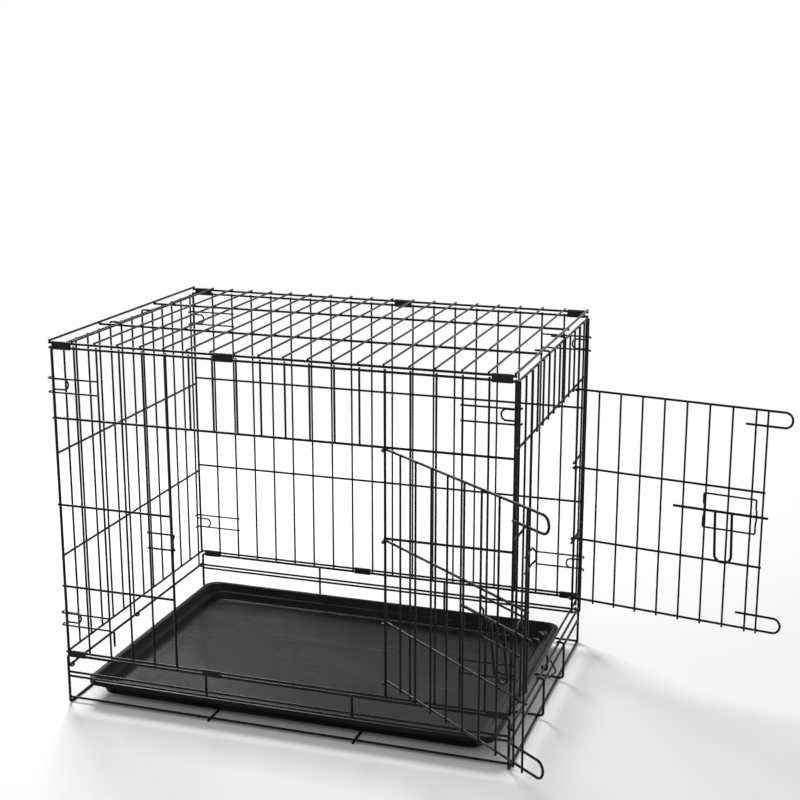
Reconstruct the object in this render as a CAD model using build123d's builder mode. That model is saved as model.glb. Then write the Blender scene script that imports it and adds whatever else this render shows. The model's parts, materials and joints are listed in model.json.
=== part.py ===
from build123d import *
import math
import os

os.makedirs("parts", exist_ok=True)

# Origin: floor level at the front left corner post. X runs along the crate, Y to the back, Z up.
length = 762.0
depth = 521.0
long_gaps = 19
end_gaps = 13
pitch = length / long_gaps

fill_r = 1.7
rail_r = 2.0
post_r = 2.1
base_r = 2.25
hook_r = 1.5
bolt_r = 2.3
weld = 0.05

# Heights of the rails, from the floor up.
floor_z = base_r
grid_z = floor_z + base_r + rail_r - weld
catch_rail_z = 45.0
front_side_rails_z = (50.0, 57.5)
back_side_rails_z = (58.0, 64.5)
end_rail_z = 68.0
base_rail_z = 87.5
panel_bottom_z = 93.5
panel_top_z = 615.0
roof_z = 622.5
stub = 3.5

# Offsets from the rails to the upright wires that are welded behind them.
fill_in = rail_r + fill_r - weld
post_in = rail_r + post_r - weld

# Openings, counted in gaps from a corner.
side_near_post = 5
side_hinge_post = 14
end_near_post = 2
end_hinge_post = 11

# End panels stand between the long ones and fold inwards about the base's end rails.
end_out = 4.4
end_front_y = 9.5
end_back_y = depth - end_front_y
end_pitch = (end_back_y - end_front_y) / end_gaps
end_top_z = 612.0

# Doors, as they stand open.
side_door_heading = -37.9
end_door_heading = -8.8
hinge_gap = 0.4
hinge_loop_r = post_r + rail_r + hinge_gap
side_door_wires = (493.0, 348.0, 214.0, 116.0)
end_door_wires = (503.0, 363.0, 232.0, 120.0)
side_bolt_z = 308.0
end_bolt_z = 319.0

# Heights of the pairs of lock wires at the four corners.
lock_z = {
    ("front", "left"): ((564.0, 541.0), (162.0, 140.5)),
    ("front", "right"): ((574.0, 550.5), (174.0, 152.0)),
    ("back", "left"): ((579.0, 555.0), (169.0, 145.0)),
    ("back", "right"): ((579.0, 555.0), (169.0, 145.0)),
}


def wire(points, radius, bends=None):
    """Adds a wire that follows the points, with rounded bends."""
    with BuildLine() as route:
        if bends is None:
            Line(points[0], points[1])
        else:
            FilletPolyline(*points, radius=bends)
    with BuildSketch(Plane(origin=route.line @ 0, z_dir=route.line % 0)) as section:
        Circle(radius)
    sweep(section.sketch, path=route.line)


def write(part, label):
    part.label = label
    export_step(part, "parts/" + label + ".step")


# Base: two bows, each a floor wire with a corner post at both ends, joined by the long rails.
rail_bend = 5.0
floor_bend = 5.0
rail_start = 12.0
for side, x, inward in (("left", 0.0, 1), ("right", length, -1)):
    with BuildPart() as bow:
        wire(
            [
                (x + inward * rail_start, 0, base_rail_z),
                (x, 0, base_rail_z),
                (x, 0, floor_z),
                (x, depth, floor_z),
                (x, depth, base_rail_z),
                (x + inward * rail_start, depth, base_rail_z),
            ],
            base_r,
            [rail_bend, floor_bend, floor_bend, rail_bend],
        )
    write(bow.part, side + "_base_bow")

cross_x = (252.0, 505.0)
tie_in = base_r + rail_r - weld
for side, y, side_rails_z in (
    ("front", 0.0, front_side_rails_z),
    ("back", depth, back_side_rails_z),
):
    with BuildPart() as base_rails:
        wire([(rail_start, y, base_rail_z), (length - rail_start, y, base_rail_z)], base_r)
        for z in side_rails_z:
            wire([(base_r, y, z), (length - base_r, y, z)], rail_r)
        if side == "front":
            for x in cross_x:
                wire([(x, tie_in, side_rails_z[0] - 1), (x, tie_in, base_rail_z + 1)], rail_r)
    write(base_rails.part, side + "_base_rails")

with BuildPart() as end_rails:
    for x in (0.0, length):
        wire([(x, base_r, end_rail_z), (x, depth - base_r, end_rail_z)], base_r)
    wire([(length, base_r, catch_rail_z), (length, depth - base_r, catch_rail_z)], base_r)
write(end_rails.part, "base_end_rails")

# Floor grid: two outer runners, two inner ones that turn up and hook over the right end rail,
# and two cross wires that turn up at the back.
runner_in = 10.0
runner_over = 4.0
runner_reach = 11.0
hook_z = end_rail_z + tie_in
with BuildPart() as outer_runners:
    for y in (runner_in, depth - runner_in):
        wire([(-runner_over, y, grid_z), (length + runner_over, y, grid_z)], rail_r)
write(outer_runners.part, "floor_outer_runners")

with BuildPart() as inner_runners:
    for y in (189.0, 344.0):
        wire(
            [
                (-runner_over, y, grid_z),
                (length + runner_reach, y, grid_z),
                (length + runner_reach, y, hook_z),
                (length - 2.0, y, hook_z),
            ],
            rail_r,
            5.0,
        )
write(inner_runners.part, "floor_inner_runners")

cross_z = grid_z - 2 * rail_r + weld
cross_start_y = 7.0
with BuildPart() as cross_wires:
    for x in cross_x:
        wire(
            [
                (x, cross_start_y, cross_z),
                (x, depth - tie_in, cross_z),
                (x, depth - tie_in, base_rail_z + 1),
            ],
            rail_r,
            3.0,
        )
write(cross_wires.part, "floor_cross_wires")

# A bent wire stops the tray at the right, and a short finger hangs over its left rim.
stop_out = 15.0
stop_rise = base_r + hook_r - weld
finger_low_z = 41.5
with BuildPart() as tray_stop:
    wire(
        [
            (length + stop_rise, 272.0, end_rail_z + 1),
            (length + stop_out, 266.0, end_rail_z - 16),
            (length + stop_rise, 257.0, catch_rail_z - 1),
        ],
        hook_r,
        4.0,
    )
    wire([(tie_in, 149.0, finger_low_z), (tie_in, 149.0, end_rail_z + 2)], rail_r)
write(tray_stop.part, "tray_stop_wires")

# Tray: a drawn plastic pan with a stepped wall and a rim that turns over.
tray_left = 20.0
tray_right = 733.0
tray_front = 14.0
tray_rim_z = 39.0
tray_floor_z = grid_z + rail_r + 0.1
tray_wall = 2.2
tray_lip = 8.0
tray_corner = 22.0
tray_long = tray_right - tray_left
tray_wide = depth - 2 * tray_front
tray_bottom_long = tray_long - 50.0
tray_bottom_wide = tray_wide - 38.0
tray_middle = ((tray_left + tray_right) / 2, depth / 2)
with BuildPart() as tray:
    with BuildSketch(Plane.XY.offset(tray_floor_z)):
        with Locations(tray_middle):
            RectangleRounded(tray_bottom_long, tray_bottom_wide, tray_corner)
    with BuildSketch(Plane.XY.offset(tray_rim_z)):
        with Locations(tray_middle):
            RectangleRounded(tray_long - 6, tray_wide - 6, tray_corner)
    loft()
    with BuildSketch(Plane.XY.offset(tray_floor_z + tray_wall)):
        with Locations(tray_middle):
            RectangleRounded(tray_bottom_long - 2, tray_bottom_wide - 2, tray_corner - 1)
    with BuildSketch(Plane.XY.offset(tray_rim_z + 0.1)):
        with Locations(tray_middle):
            RectangleRounded(tray_long - 11, tray_wide - 11, tray_corner - 2)
    loft(mode=Mode.SUBTRACT)
    with BuildSketch(Plane.XY.offset(tray_rim_z - tray_lip)):
        with Locations(tray_middle):
            RectangleRounded(tray_long, tray_wide, tray_corner)
            RectangleRounded(
                tray_long - 5, tray_wide - 5, tray_corner - 2.5, mode=Mode.SUBTRACT
            )
    extrude(amount=tray_lip)
    with BuildSketch(Plane.XY.offset(tray_rim_z - tray_wall)):
        with Locations(tray_middle):
            RectangleRounded(tray_long, tray_wide, tray_corner)
            RectangleRounded(
                tray_long - 10.5, tray_wide - 10.5, tray_corner - 5, mode=Mode.SUBTRACT
            )
    extrude(amount=tray_wall)
write(tray.part, "tray")


def uprights(places, radius, y, z_from, z_to):
    """Upright wires of a long panel, at the given gap counts."""
    for place in places:
        wire([(place * pitch, y, z_from), (place * pitch, y, z_to)], radius)


# Long panels. The back one is plain and the front one has the side door's opening.
rail_over = 2.0
lock_r = 1.5
lock_bar_long = 2 * pitch + rail_over
lock_out = end_out + fill_r + lock_r + 0.6
upright_low_z = panel_bottom_z - 1.8
upright_high_z = panel_top_z + stub
lock_in = fill_in - fill_r - lock_r + weld
corner_high_z = panel_top_z + 2.0
lintel_z = 499.0
short_end = 1.8
for side, y, inward in (("front", 0.0, 1), ("back", depth, -1)):
    with BuildPart() as rails:
        for z in (panel_bottom_z, panel_top_z):
            wire([(-rail_over, y, z), (length + rail_over, y, z)], rail_r)
    write(rails.part, side + "_panel_rails")
    with BuildPart() as corner_posts:
        uprights((0, long_gaps), post_r, y + inward * post_in, upright_low_z, corner_high_z)
    write(corner_posts.part, side + "_panel_corner_posts")

    lock_y = y + inward * lock_in
    with BuildPart() as lock_bars:
        for end, x, out in (("left", 0.0, -1), ("right", length, 1)):
            upper, lower = lock_z[side, end]
            for z in upper + lower:
                wire(
                    [
                        (x - out * lock_bar_long, lock_y, z),
                        (x + out * lock_out, lock_y, z),
                        (x + out * lock_out, y + inward * end_front_y, z),
                    ],
                    lock_r,
                    4.0,
                )
    write(lock_bars.part, side + "_panel_lock_bars")

back_fill_y = depth - fill_in
with BuildPart() as back_uprights:
    uprights(range(1, long_gaps), fill_r, back_fill_y, upright_low_z, upright_high_z)
write(back_uprights.part, "back_panel_uprights")

with BuildPart() as back_cross_wires:
    for z in (449.0, 273.0):
        wire([(-rail_over, depth, z), (length + rail_over, depth, z)], rail_r)
write(back_cross_wires.part, "back_panel_cross_wires")

with BuildPart() as front_uprights:
    side_places = [i for i in range(1, side_near_post)]
    side_places += [i for i in range(side_hinge_post + 1, long_gaps)]
    uprights(side_places, fill_r, fill_in, upright_low_z, upright_high_z)
    over_door = range(side_near_post + 1, side_hinge_post)
    uprights(over_door, fill_r, fill_in, lintel_z - short_end, upright_high_z)
write(front_uprights.part, "front_panel_uprights")

with BuildPart() as opening_posts:
    uprights((side_near_post, side_hinge_post), post_r, post_in, upright_low_z, upright_high_z)
write(opening_posts.part, "side_door_posts")

with BuildPart() as front_cross_wires:
    wire([(-rail_over, 0, lintel_z), (length + rail_over, 0, lintel_z)], rail_r)
    for z in (352.0, 210.5):
        wire([(-rail_over, 0, z), (side_near_post * pitch + rail_over, 0, z)], rail_r)
    for z in (355.0, 221.5):
        wire([(side_hinge_post * pitch - 1.0, 0, z), (length + rail_over, 0, z)], rail_r)
write(front_cross_wires.part, "front_panel_cross_wires")

# Roof: edge and lengthwise wires, with a cross wire over them at every gap.
roof_cross_z = roof_z + fill_in
roof_end_z = roof_z + 2 * rail_r - weld
with BuildPart() as roof_lengthwise:
    for y in (0.0, 161.0, 360.0, depth):
        wire([(-rail_over, y, roof_z), (length + rail_over, y, roof_z)], rail_r)
write(roof_lengthwise.part, "roof_lengthwise_wires")

with BuildPart() as roof_ends:
    for x in (0.0, length):
        wire([(x, -rail_over, roof_end_z), (x, depth + rail_over, roof_end_z)], rail_r)
write(roof_ends.part, "roof_end_wires")

with BuildPart() as roof_cross_wires:
    for i in range(1, long_gaps):
        x = i * pitch
        wire([(x, -rail_over, roof_cross_z), (x, depth + rail_over, roof_cross_z)], fill_r)
write(roof_cross_wires.part, "roof_cross_wires")

# Sheet-metal hinge clips: closed sleeves around two wires, between two uprights.
sheet = 1.0
slack = 0.45
clip_long = 31.0
roof_front_clip_x = (20.0, 300.0, 742.0)
roof_back_clip_x = (20.0, 421.0, 742.0)
front_lower_clip_x = (20.0, 265.0, 742.0)
back_lower_clip_x = (22.0, 339.0, 742.0)


def clip(x, y, own_z, other_z, other_r):
    """A sleeve that grips one wire and turns freely on the other."""
    face = Plane(origin=(x - clip_long / 2, y, 0), x_dir=(0, 1, 0), z_dir=(1, 0, 0))
    with BuildSketch(face) as band:
        with Locations((0, own_z)):
            Circle(rail_r + sheet)
        with Locations((0, other_z)):
            Circle(other_r + slack + sheet)
        make_hull()
        with BuildSketch(Plane.XY, mode=Mode.PRIVATE) as hollow:
            with Locations((0, own_z)):
                Circle(rail_r)
            with Locations((0, other_z)):
                Circle(other_r + slack)
            make_hull()
        add(hollow.sketch, mode=Mode.SUBTRACT)
    extrude(band.sketch, amount=clip_long)


with BuildPart() as roof_front_clips:
    for x in roof_front_clip_x:
        clip(x, 0.0, roof_z, panel_top_z, rail_r)
write(roof_front_clips.part, "roof_front_clips")

with BuildPart() as roof_back_clips:
    for x in roof_back_clip_x:
        clip(x, depth, panel_top_z, roof_z, rail_r)
write(roof_back_clips.part, "roof_back_clips")

with BuildPart() as back_lower_clips:
    for x in back_lower_clip_x:
        clip(x, depth, panel_bottom_z, base_rail_z, base_r)
write(back_lower_clips.part, "back_lower_clips")

# The front panel's lower clips are open behind and below, so they leave the base rail outwards.
open_y = -1.7
with BuildPart() as front_lower_clips:
    for x in front_lower_clip_x:
        clip(x, 0.0, panel_bottom_z, base_rail_z, base_r)
    with BuildSketch(Plane.YZ.offset(-clip_long)):
        with Locations((open_y, panel_bottom_z - rail_r - 0.2)):
            Rectangle(20, 40, align=(Align.MIN, Align.MAX))
        with Locations((open_y, base_rail_z + open_y)):
            Rectangle(20, 40, align=(Align.CENTER, Align.MAX))
    extrude(amount=length + 2 * clip_long, mode=Mode.SUBTRACT)
write(front_lower_clips.part, "front_lower_clips")


def end_uprights(places, radius, x, z_from, z_to):
    """Upright wires of an end panel, at the given gap counts."""
    for place in places:
        y = end_front_y + place * end_pitch
        wire([(x, y, z_from), (x, y, z_to)], radius)


cos_30 = math.cos(math.radians(30))


def hinge_hook(x, y, inward):
    """The lower end of an upright, curled under and round the base's end rail."""
    with BuildLine() as route:
        Line((x - inward * end_out, y, upright_low_z), (x - inward * end_out, y, end_rail_z))
        ThreePointArc(
            (x - inward * end_out, y, end_rail_z),
            (x, y, end_rail_z - end_out),
            (x + inward * end_out, y, end_rail_z),
        )
        ThreePointArc(
            (x + inward * end_out, y, end_rail_z),
            (x + inward * end_out * cos_30, y, end_rail_z + end_out / 2),
            (x + inward * end_out / 2, y, end_rail_z + end_out * cos_30),
        )
    with BuildSketch(Plane(origin=route.line @ 0, z_dir=route.line % 0)) as section:
        Circle(fill_r)
    sweep(section.sketch, path=route.line)


# End panels. The left one is plain and the right one has the end door's opening.
rail_in = fill_in - end_out
end_upright_z = (upright_low_z, end_top_z + short_end)
end_rail_y = (end_front_y - rail_over, end_back_y + rail_over)
tab_places = (5, 8)
tab_reach = 24.0
tab_z = 618.5
loop_reach = 26.0
loop_half = 8.5
for side, x, inward in (("left", 0.0, 1), ("right", length, -1)):
    rail_x = x + inward * rail_in
    upright_x = x - inward * end_out
    with BuildPart() as rails:
        for z in (panel_bottom_z, end_top_z):
            wire([(rail_x, end_rail_y[0], z), (rail_x, end_rail_y[1], z)], rail_r)
    write(rails.part, side + "_end_rails")
    with BuildPart() as corner_posts:
        end_uprights((0, end_gaps), fill_r, upright_x, *end_upright_z)
    write(corner_posts.part, side + "_end_corner_posts")
    with BuildPart() as hooks:
        for place in (0, 6, end_gaps):
            hinge_hook(x, end_front_y + place * end_pitch, inward)
    write(hooks.part, side + "_end_hinge_hooks")
    with BuildPart() as tabs:
        for place in tab_places:
            y = end_front_y + place * end_pitch
            wire(
                [
                    (upright_x, y, end_upright_z[1]),
                    (upright_x, y, tab_z),
                    (upright_x + inward * tab_reach, y, tab_z),
                ],
                fill_r,
                4.0,
            )
    write(tabs.part, side + "_end_roof_tabs")
    with BuildPart() as corner_loops:
        for panel, y in (("front", end_front_y), ("back", end_back_y)):
            for pair in lock_z[panel, side]:
                z = (pair[0] + pair[1]) / 2
                near_x = upright_x + inward * (fill_r - weld / 2)
                wire(
                    [
                        (near_x, y, z + loop_half),
                        (near_x + inward * loop_reach, y, z + loop_half),
                        (near_x + inward * loop_reach, y, z - loop_half),
                        (near_x, y, z - loop_half),
                    ],
                    hook_r,
                    loop_half - 0.5,
                )
    write(corner_loops.part, side + "_end_corner_loops")

left_upright_x = -end_out
left_rail_x = rail_in
with BuildPart() as left_uprights:
    end_uprights(range(1, end_gaps), fill_r, left_upright_x, *end_upright_z)
write(left_uprights.part, "left_end_uprights")

with BuildPart() as left_cross_wires:
    for z in (438.0, 262.0):
        wire([(left_rail_x, end_rail_y[0], z), (left_rail_x, end_rail_y[1], z)], rail_r)
write(left_cross_wires.part, "left_end_cross_wires")

right_upright_x = length + end_out
right_rail_x = length - rail_in
end_lintel_z = 510.0
with BuildPart() as right_uprights:
    end_uprights((1, 12), fill_r, right_upright_x, *end_upright_z)
    over_door = range(end_near_post + 1, end_hinge_post)
    end_uprights(over_door, fill_r, right_upright_x, end_lintel_z - short_end, end_upright_z[1])
write(right_uprights.part, "right_end_uprights")

with BuildPart() as end_opening_posts:
    end_uprights((end_near_post, end_hinge_post), post_r, right_upright_x + 0.4, *end_upright_z)
write(end_opening_posts.part, "end_door_posts")

near_post_y = end_front_y + end_near_post * end_pitch
hinge_post_y = end_front_y + end_hinge_post * end_pitch
right_wires = [(end_lintel_z, end_rail_y[0], end_rail_y[1])]
for z in (371.0, 224.0):
    right_wires.append((z, end_rail_y[0], near_post_y + rail_over))
    right_wires.append((z, hinge_post_y - rail_over, end_rail_y[1]))
with BuildPart() as right_cross_wires:
    for z, y_from, y_to in right_wires:
        wire([(right_rail_x, y_from, z), (right_rail_x, y_to, z)], rail_r)
write(right_cross_wires.part, "right_end_cross_wires")


def strike(points_at, back, front, z):
    """The catch on an opening's post: two wires, joined by a bow that the bolt slides under."""
    wire(
        [
            points_at(back, strike_level, z + 13),
            points_at(front, strike_level, z + 13),
            points_at(front, strike_bow, z + 7),
            points_at(front, strike_bow, z - 7),
            points_at(front, strike_level, z - 13),
            points_at(back, strike_level, z - 13),
        ],
        1.6,
        2.5,
    )


def door(name, hinge, heading, step, wires, bolt_z):
    """A door's wires, with its slide bolt, seen from its hinge axis: w along it and v outwards."""
    place = Plane(origin=hinge, z_dir=(0, 0, 1)).rotated((0, 0, heading))

    def at(w, v, z):
        return tuple(place.from_local_coords((w, v, z)))

    def hinge_route(z):
        back = hinge_loop_r * math.cos(math.radians(45))
        ThreePointArc(at(back, -back, z), at(-hinge_loop_r, 0, z), at(0, hinge_loop_r, z))

    width = 9 * step
    lip = width + 20.0
    loop_back = width - 56.0
    upright_v = hinge_loop_r - fill_in
    outer_z = (wires[0], wires[-1])
    for label, z, turn in (("top", outer_z[0], -1), ("bottom", outer_z[1], 1)):
        drop = 26.0
        with BuildPart() as outer_wire:
            with BuildLine() as route:
                hinge_route(z)
                FilletPolyline(
                    at(0, hinge_loop_r, z),
                    at(lip, hinge_loop_r, z),
                    at(lip, hinge_loop_r, z + turn * drop),
                    at(loop_back, hinge_loop_r, z + turn * drop),
                    radius=12.5,
                )
            with BuildSketch(Plane(origin=route.line @ 0, z_dir=route.line % 0)) as section:
                Circle(rail_r)
            sweep(section.sketch, path=route.line)
        write(outer_wire.part, name + "_door_" + label + "_wire")

    with BuildPart() as middle_wires:
        for z in wires[1:3]:
            with BuildLine() as route:
                hinge_route(z)
                Line(at(0, hinge_loop_r, z), at(8.5 * step + rail_over, hinge_loop_r, z))
            with BuildSketch(Plane(origin=route.line @ 0, z_dir=route.line % 0)) as section:
                Circle(rail_r)
            sweep(section.sketch, path=route.line)
    write(middle_wires.part, name + "_door_middle_wires")

    with BuildPart() as door_uprights:
        for gap in (1, 2, 3, 4, 5, 6, 7, 8, 8.5):
            w = gap * step
            wire([at(w, upright_v, outer_z[1] - 4), at(w, upright_v, outer_z[0] + 2.5)], fill_r)
    write(door_uprights.part, name + "_door_uprights")

    # Slide bolt: two bars and two bowed guides hold it against the uprights.
    bolt_v = upright_v + fill_r + bolt_r + 0.4
    bar_v = upright_v + fill_r + 1.6 - weld
    guide_v = bolt_v + bolt_r + 1.6 + 0.5
    guide_w = (5.9 * step, 8.2 * step)
    guide_half = 30.0
    with BuildPart() as latch_frame:
        for z in (bolt_z + guide_half, bolt_z - guide_half):
            wire([at(guide_w[0] + 4, bar_v, z), at(guide_w[1] - 4, bar_v, z)], 1.6)
        for w, out in ((guide_w[0], 1), (guide_w[1], -1)):
            wire(
                [
                    at(w + out * 4, bar_v, bolt_z + guide_half),
                    at(w, bar_v, bolt_z + guide_half),
                    at(w, bar_v, bolt_z + 14),
                    at(w, guide_v, bolt_z + 7),
                    at(w, guide_v, bolt_z - 7),
                    at(w, bar_v, bolt_z - 14),
                    at(w, bar_v, bolt_z - guide_half),
                    at(w + out * 4, bar_v, bolt_z - guide_half),
                ],
                1.6,
                [2.5, 3.0, 3.0, 3.0, 3.0, 2.5],
            )
    write(latch_frame.part, name + "_latch_frame")

    tip_w = width - 10.5
    with BuildPart() as bolt:
        wire([at(tip_w - 162, bolt_v, bolt_z), at(tip_w, bolt_v, bolt_z)], bolt_r)
        chamfer(bolt.edges().filter_by(GeomType.CIRCLE), 0.5)
    write(bolt.part, name + "_latch_bolt")

    # The handle leans on the guide's lower bar.
    handle_w = (6.42 * step, 7.16 * step)
    handle_drop = 93.0
    lean = math.radians(6.6)

    def hanging(w, drop):
        return at(w, bolt_v + drop * math.sin(lean), bolt_z - drop * math.cos(lean))

    with BuildPart() as handle:
        wire(
            [
                hanging(handle_w[0], bolt_r + 0.15),
                hanging(handle_w[0], handle_drop),
                hanging(handle_w[1], handle_drop),
                hanging(handle_w[1], bolt_r + 0.15),
            ],
            bolt_r,
            13.0,
        )
    write(handle.part, name + "_latch_handle")


strike_level = -(post_r + 1.6 - weld)
strike_bow = -9.8
strike_reach = 6.5
side_post_x = side_near_post * pitch
with BuildPart() as side_strike:
    strike(
        lambda along, out, z: (along, post_in + out, z),
        side_post_x - pitch - rail_over,
        side_post_x + strike_reach,
        side_bolt_z,
    )
write(side_strike.part, "side_door_strike")

end_post_x = right_upright_x + 0.4
with BuildPart() as end_strike:
    strike(
        lambda along, out, z: (end_post_x - out, along, z),
        near_post_y - end_pitch - rail_over,
        near_post_y + strike_reach,
        end_bolt_z,
    )
write(end_strike.part, "end_door_strike")

side_hinge = (side_hinge_post * pitch, post_in, 0)
door("side", side_hinge, side_door_heading, pitch, side_door_wires, side_bolt_z)
end_hinge = (end_post_x, hinge_post_y, 0)
door("end", end_hinge, end_door_heading, end_pitch, end_door_wires, end_bolt_z)
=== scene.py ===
import json
import math
import bpy
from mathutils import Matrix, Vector


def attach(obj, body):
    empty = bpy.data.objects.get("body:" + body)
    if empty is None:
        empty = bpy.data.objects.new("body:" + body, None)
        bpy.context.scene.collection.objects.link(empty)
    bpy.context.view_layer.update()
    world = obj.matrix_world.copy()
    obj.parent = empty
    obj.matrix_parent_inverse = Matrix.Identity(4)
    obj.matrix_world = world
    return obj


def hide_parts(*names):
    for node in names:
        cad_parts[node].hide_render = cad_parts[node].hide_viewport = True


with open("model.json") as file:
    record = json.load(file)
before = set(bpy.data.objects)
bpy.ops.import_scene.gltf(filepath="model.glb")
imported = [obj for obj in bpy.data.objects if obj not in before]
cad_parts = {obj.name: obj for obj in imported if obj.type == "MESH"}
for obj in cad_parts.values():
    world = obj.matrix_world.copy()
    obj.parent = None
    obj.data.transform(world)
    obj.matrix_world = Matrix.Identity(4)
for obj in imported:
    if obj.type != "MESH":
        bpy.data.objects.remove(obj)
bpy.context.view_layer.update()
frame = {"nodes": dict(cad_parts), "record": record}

nodes = frame["nodes"]
print("crate: frame loaded,", len(nodes), "wire groups and parts")

white = (1.0, 1.0, 1.0, 1.0)


class Link:
    # a node's output socket, with arithmetic
    def __init__(self, tree, socket):
        self.tree = tree
        self.socket = socket

    def make(self, kind, settings=None, inputs=None, output=0):
        node = self.tree.nodes.new(kind)
        for key, value in (settings or {}).items():
            setattr(node, key, value)
        for key, value in (inputs or {}).items():
            if isinstance(value, Link):
                self.tree.links.new(value.socket, node.inputs[key])
            else:
                node.inputs[key].default_value = value
        return Link(self.tree, node.outputs[output])

    def maths(self, operation, *values):
        return self.make("ShaderNodeMath", {"operation": operation}, dict(enumerate(values)))

    def __add__(self, other):
        return self.maths("ADD", self, other)

    def __sub__(self, other):
        return self.maths("SUBTRACT", self, other)

    def __mul__(self, other):
        return self.maths("MULTIPLY", self, other)

    def larger(self, other):
        return self.maths("MAXIMUM", self, other)

    def between(self, low, high):
        # 0 below low, 1 above high, smooth in between
        inputs = {0: self, 1: low, 2: high, 3: 0.0, 4: 1.0}
        return self.make("ShaderNodeMapRange", {"interpolation_type": "SMOOTHSTEP"}, inputs)

    def blend(self, shadeA, shadeB):
        inputs = {0: self, 6: shadeA, 7: shadeB}
        return self.make("ShaderNodeMix", {"data_type": "RGBA"}, inputs, 2)


def shade(value, tint=(1.0, 1.0, 1.0)):
    return (value * tint[0], value * tint[1], value * tint[2], 1.0)


def startMaterial(name):
    material = bpy.data.materials.new(name)
    material.use_nodes = True
    tree = material.node_tree
    surface = tree.nodes["Principled BSDF"]
    place = tree.nodes.new("ShaderNodeTexCoord").outputs["Object"]
    return material, surface, Link(tree, place)


def connect(link, socket):
    link.tree.links.new(link.socket, socket)


def noise(place, scale, detail=2.0, roughness=0.5):
    inputs = {"Vector": place, "Scale": scale, "Detail": detail, "Roughness": roughness}
    return place.make("ShaderNodeTexNoise", {}, inputs)


def stretched(place, scale):
    return place.make("ShaderNodeMapping", {"vector_type": "POINT"}, {"Vector": place, "Scale": scale})


def bump(height, strength, distance):
    inputs = {"Height": height, "Strength": strength, "Distance": distance}
    return height.make("ShaderNodeBump", {}, inputs)


def gloss(surface, coat):
    # the finish's own mirror strength and its thin clear layer
    surface.inputs["Specular IOR Level"].default_value = coat["mirror"]
    surface.inputs["Coat Weight"].default_value = coat["clearWeight"]
    surface.inputs["Coat Roughness"].default_value = coat["clearRoughness"]


# satin black coating on drawn steel wire
wireCoat = {
    "black": 0.0018,
    "greyed": 0.0045,
    "greyedTint": (1.0, 1.0, 1.04),
    "steel": 0.07,
    "steelTint": (1.0, 0.98, 0.95),
    "steelMetal": 0.85,
    "roughness": 0.25,
    "roughnessSpread": 0.16,
    "wornRoughness": 0.08,
    "chipRoughness": 0.12,
    "cloudScale": 14.0,
    "dustScale": 160.0,
    "peelScale": 900.0,
    "chipScale": 210.0,
    "chipFrom": 0.76,
    "chipTo": 0.80,
    "bumpStrength": 0.35,
    "bumpDepth": 0.00012,
    "mirror": 0.12,
    "clearWeight": 0.03,
    "clearRoughness": 0.22,
}


def makeWireCoat(name, wear):
    # wear from 0, new, to 1, rubbed bright where it slides
    coat = wireCoat
    material, surface, place = startMaterial(name)
    cloud = noise(place, coat["cloudScale"], 3.0)
    fine = noise(place, coat["dustScale"], 3.0, 0.6)
    peel = noise(place, coat["peelScale"], 1.0)
    dust = cloud.between(0.42, 0.72) * 0.6 + fine.between(0.45, 0.8) * 0.4
    chipFrom = coat["chipFrom"] - 0.10 * wear
    chipTo = coat["chipTo"] - 0.08 * wear
    chips = noise(place, coat["chipScale"], 4.0, 0.72).between(chipFrom, chipTo)
    paint = dust.blend(shade(coat["black"]), shade(coat["greyed"], coat["greyedTint"]))
    steel = shade(coat["steel"], coat["steelTint"])
    connect(chips.blend(paint, steel), surface.inputs["Base Color"])
    rough = dust * coat["roughnessSpread"] + (coat["roughness"] - coat["wornRoughness"] * wear)
    connect(rough - chips * coat["chipRoughness"], surface.inputs["Roughness"])
    connect(chips * coat["steelMetal"], surface.inputs["Metallic"])
    height = peel * 0.6 + fine * 0.8 - chips * 0.7
    connect(bump(height, coat["bumpStrength"], coat["bumpDepth"]), surface.inputs["Normal"])
    gloss(surface, coat)
    return material


# black coating on the clips' rolled sheet, with small rubbed marks
clipCoat = {
    "black": 0.003,
    "greyed": 0.0057,
    "rubbed": 0.02,
    "rubbedMetal": 0.5,
    "roughness": 0.24,
    "roughnessSpread": 0.25,
    "rubbedRoughness": 0.1,
    "cloudScale": 55.0,
    "grainScale": (90.0, 900.0, 900.0),
    "pressedScale": 420.0,
    "markScale": 330.0,
    "bumpStrength": 0.3,
    "bumpDepth": 0.00015,
    "mirror": 0.14,
    "clearWeight": 0.03,
    "clearRoughness": 0.3,
}


def makeClipCoat():
    coat = clipCoat
    material, surface, place = startMaterial("clipSheetCoat")
    cloud = noise(place, coat["cloudScale"], 3.0, 0.6)
    grain = noise(stretched(place, coat["grainScale"]), 1.0, 2.0)
    pressed = noise(place, coat["pressedScale"], 2.0)
    marks = noise(place, coat["markScale"], 3.0, 0.7).between(0.66, 0.72)
    paint = cloud.between(0.4, 0.7).blend(shade(coat["black"]), shade(coat["greyed"]))
    connect(marks.blend(paint, shade(coat["rubbed"])), surface.inputs["Base Color"])
    rough = cloud * coat["roughnessSpread"] + coat["roughness"] + marks * coat["rubbedRoughness"]
    connect(rough, surface.inputs["Roughness"])
    connect(marks * coat["rubbedMetal"], surface.inputs["Metallic"])
    height = grain * 0.5 + pressed
    connect(bump(height, coat["bumpStrength"], coat["bumpDepth"]), surface.inputs["Normal"])
    gloss(surface, coat)
    return material


# black moulded plastic, dulled and scratched by use
trayPlastic = {
    "black": 0.0026,
    "dulled": 0.0125,
    "scuffed": 0.05,
    "scuffedTint": (1.0, 1.0, 1.03),
    "roughness": 0.26,
    "dulledRoughness": 0.24,
    "cloudScale": 5.5,
    "smearScale": (3.0, 16.0, 8.0),
    "grainScale": 620.0,
    "longScratchScale": (6.0, 420.0, 60.0),
    "crossScratchScale": (310.0, 7.0, 60.0),
    "pockScale": 75.0,
    "waveScale": 9.0,
    "bumpStrength": 0.5,
    "bumpDepth": 0.0012,
    "mirror": 0.08,
}


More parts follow.
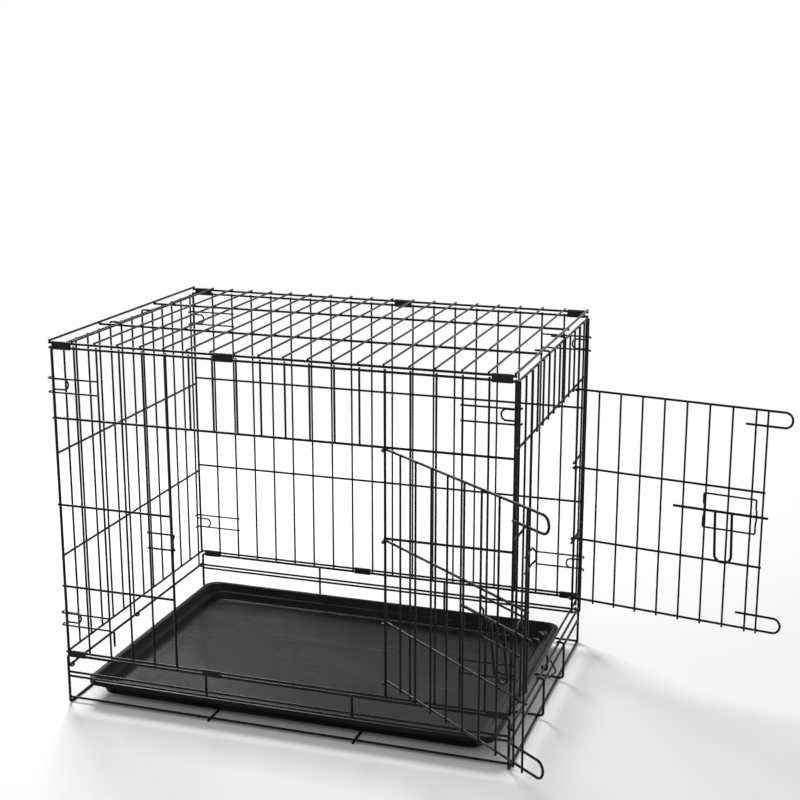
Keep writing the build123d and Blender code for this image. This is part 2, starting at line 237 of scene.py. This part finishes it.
def makeTrayPlastic():
    plastic = trayPlastic
    material, surface, place = startMaterial("trayPlastic")
    cloud = noise(place, plastic["cloudScale"], 4.0, 0.55)
    smear = noise(stretched(place, plastic["smearScale"]), 1.0, 5.0, 0.62)
    grain = noise(place, plastic["grainScale"], 2.0, 0.6)
    wave = noise(place, plastic["waveScale"], 2.0)
    longScratches = noise(stretched(place, plastic["longScratchScale"]), 1.0).between(0.685, 0.70)
    crossScratches = noise(stretched(place, plastic["crossScratchScale"]), 1.0).between(0.70, 0.715)
    pocks = noise(place, plastic["pockScale"], 3.0, 0.7).between(0.68, 0.74)
    scuff = cloud.between(0.45, 0.75) * 0.5 + smear.between(0.5, 0.78) * 0.5
    lines = longScratches.larger(crossScratches) * cloud.between(0.38, 0.6)
    base = scuff.blend(shade(plastic["black"]), shade(plastic["dulled"]))
    scuffed = shade(plastic["scuffed"], plastic["scuffedTint"])
    connect((lines * 0.7 + pocks * 0.35).blend(base, scuffed), surface.inputs["Base Color"])
    rough = scuff * plastic["dulledRoughness"] + plastic["roughness"] + lines * 0.15 + pocks * 0.1
    connect(rough, surface.inputs["Roughness"])
    height = grain * 0.10 + wave * 2.2 - lines * 0.15
    connect(bump(height, plastic["bumpStrength"], plastic["bumpDepth"]), surface.inputs["Normal"])
    surface.inputs["Specular IOR Level"].default_value = plastic["mirror"]
    return material


coatedWire = makeWireCoat("coatedWire", 0.0)
latchWire = makeWireCoat("latchWire", 0.55)
clipSheet = makeClipCoat()
blackPlastic = makeTrayPlastic()
print("crate: coatings and plastic ready")

finishes = {
    "coated_wire": coatedWire,
    "latch_wire": latchWire,
    "clip_steel": clipSheet,
    "tray_plastic": blackPlastic,
}
slotOf = {part["node"]: part["material_slot"] for part in frame["record"]["subparts"]}
for name, node in nodes.items():
    node.data.materials.clear()
    node.data.materials.append(finishes[slotOf[name]])
print("crate: every wire group has its finish")


# pressed tray: each ring is the length, width and height of its rounded outline
tray = {
    "centre": (0.3765, 0.2605),
    "floor": (0.628, 0.420, 0.01295),
    "corner": 0.021,
    "cornerSteps": 9,
    "smoothAngle": 38.0,
    "lowerWall": [
        (0.648, 0.440, 0.0133),
        (0.656, 0.448, 0.0150),
        (0.661, 0.453, 0.0190),
        (0.665, 0.456, 0.0236),
        (0.668, 0.459, 0.0250),
    ],
    "upperWall": [
        (0.681, 0.470, 0.0256),
        (0.684, 0.473, 0.0268),
        (0.690, 0.478, 0.0352),
        (0.693, 0.480, 0.0380),
    ],
    "rolledLip": [
        (0.699, 0.484, 0.0389),
        (0.707, 0.488, 0.0390),
        (0.711, 0.4914, 0.0385),
        (0.713, 0.493, 0.0372),
        (0.713, 0.493, 0.0310),
        (0.7108, 0.4908, 0.0310),
        (0.7104, 0.4904, 0.0362),
    ],
    "underside": [
        (0.6966, 0.4836, 0.0366),
        (0.6890, 0.4780, 0.0262),
        (0.6760, 0.4660, 0.0236),
        (0.6690, 0.4600, 0.0130),
        (0.6630, 0.4550, 0.0112),
        (0.6540, 0.4460, 0.01075),
    ],
}


def makeTray():
    centre = Vector((*tray["centre"], 0.0))
    long, wide, height = tray["floor"]
    bpy.ops.object.select_all(action="DESELECT")
    bpy.ops.mesh.primitive_plane_add(size=1.0, location=(0.0, 0.0, 0.0))
    piece = bpy.context.object
    piece.name = "pressedTray"
    bpy.ops.object.mode_set(mode="EDIT")
    bpy.ops.mesh.select_all(action="SELECT")
    bpy.ops.transform.resize(value=(long, wide, 1.0), center_override=(0.0, 0.0, 0.0))
    bpy.ops.transform.translate(value=(*tray["centre"], height))
    bpy.ops.mesh.bevel(affect="VERTICES", offset=tray["corner"], segments=tray["cornerSteps"])
    bpy.ops.mesh.select_mode(type="EDGE")
    bpy.ops.mesh.select_all(action="SELECT")
    rings = tray["lowerWall"] + tray["upperWall"] + tray["rolledLip"] + tray["underside"]
    for nextLong, nextWide, nextHeight in rings:
        rise = {"value": (0.0, 0.0, nextHeight - height)}
        bpy.ops.mesh.extrude_edges_move(TRANSFORM_OT_translate=rise)
        spread = (nextLong / long, nextWide / wide, 1.0)
        bpy.ops.transform.resize(value=spread, center_override=centre)
        long, wide, height = nextLong, nextWide, nextHeight
    bpy.ops.mesh.edge_face_add()
    bpy.ops.mesh.select_all(action="SELECT")
    bpy.ops.mesh.normals_make_consistent(inside=False)
    bpy.ops.object.mode_set(mode="OBJECT")
    bpy.ops.object.shade_smooth_by_angle(angle=math.radians(tray["smoothAngle"]))
    piece.data.materials.append(blackPlastic)
    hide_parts("tray")
    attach(piece, "tray")


makeTray()
print("crate: tray made")


# pale paper that takes the object's shadow and fades to plain white from near to far
floorPaper = {
    "centre": (0.4, 0.3, 0.0),
    "size": 80.0,
    "pale": 0.93,
    "shaded": 0.985,
    "cloudScale": 1.3,
    "roughness": 0.6,
    "mirror": 0.1,
    "near": 0.95,
    "far": 1.9,
}


def seenStraight(tree):
    # 1 for the camera and for what the object mirrors or lets through
    path = tree.nodes.new("ShaderNodeLightPath")
    kinds = ("Is Camera Ray", "Is Glossy Ray", "Is Transmission Ray")
    camera, mirrored, through = [Link(tree, path.outputs[kind]) for kind in kinds]
    return (camera + mirrored).larger(through)


def makeFloorPaper():
    material, surface, place = startMaterial("floorPaper")
    pale = floorPaper["pale"]
    shaded = pale * floorPaper["shaded"]
    cloud = noise(place, floorPaper["cloudScale"], 3.0).between(0.3, 0.7)
    connect(cloud.blend(shade(pale), shade(shaded)), surface.inputs["Base Color"])
    surface.inputs["Roughness"].default_value = floorPaper["roughness"]
    surface.inputs["Specular IOR Level"].default_value = floorPaper["mirror"]
    reach = place.make("ShaderNodeVectorMath", {"operation": "LENGTH"}, {0: place}, "Value")
    away = reach.between(floorPaper["near"], floorPaper["far"]) * seenStraight(place.tree)
    plain = place.make("ShaderNodeEmission", {}, {"Color": white, "Strength": 1.0})
    paper = Link(place.tree, surface.outputs["BSDF"])
    both = place.make("ShaderNodeMixShader", {}, {0: away, 1: paper, 2: plain})
    connect(both, place.tree.nodes["Material Output"].inputs["Surface"])
    return material


bpy.ops.object.select_all(action="DESELECT")
bpy.ops.mesh.primitive_plane_add(size=floorPaper["size"], location=floorPaper["centre"])
floor = bpy.context.object
floor.name = "studioFloor"
floor.data.materials.append(makeFloorPaper())


# studio: two soft lamps, an even world and the camera
studio = {
    "lampAim": (0.4, 0.26, 0.25),
    "worldStrength": 0.36,
    "cameraAt": (1.257, -2.036, 1.111),
    "forward": (-0.3034, 0.9214, -0.2430),
    "lens": 67.2,
    "sensor": 36.0,
}
keyLamp = {"name": "keyLamp", "spot": (-1.6, 2.6, 2.8), "size": 1.3, "power": 160.0}
fillLamp = {"name": "fillLamp", "spot": (1.8, -2.6, 2.4), "size": 3.0, "power": 40.0}


def facing(direction):
    return Vector(direction).to_track_quat("-Z", "Y").to_euler()


def addLamp(values):
    bpy.ops.object.light_add(type="AREA", location=values["spot"])
    lamp = bpy.context.object
    lamp.name = values["name"]
    lamp.data.size = values["size"]
    lamp.data.energy = values["power"]
    lamp.rotation_euler = facing(Vector(studio["lampAim"]) - Vector(values["spot"]))


def makeWorld():
    world = bpy.data.worlds.new("studioWorld")
    bpy.context.scene.world = world
    world.use_nodes = True
    sky = world.node_tree
    straight = seenStraight(sky)
    lighting = {"Color": white, "Strength": studio["worldStrength"]}
    lit = straight.make("ShaderNodeBackground", {}, lighting)
    plain = straight.make("ShaderNodeBackground", {}, {"Color": white, "Strength": 1.0})
    both = straight.make("ShaderNodeMixShader", {}, {0: straight, 1: lit, 2: plain})
    connect(both, sky.nodes["World Output"].inputs["Surface"])


def addCamera():
    bpy.ops.object.camera_add(location=studio["cameraAt"])
    camera = bpy.context.object
    camera.name = "studioCamera"
    camera.data.lens = studio["lens"]
    camera.data.sensor_width = studio["sensor"]
    camera.rotation_euler = facing(studio["forward"])
    bpy.context.scene.camera = camera


addLamp(keyLamp)
addLamp(fillLamp)
makeWorld()
addCamera()
bpy.context.scene.view_settings.view_transform = "Standard"
print("crate: studio ready")
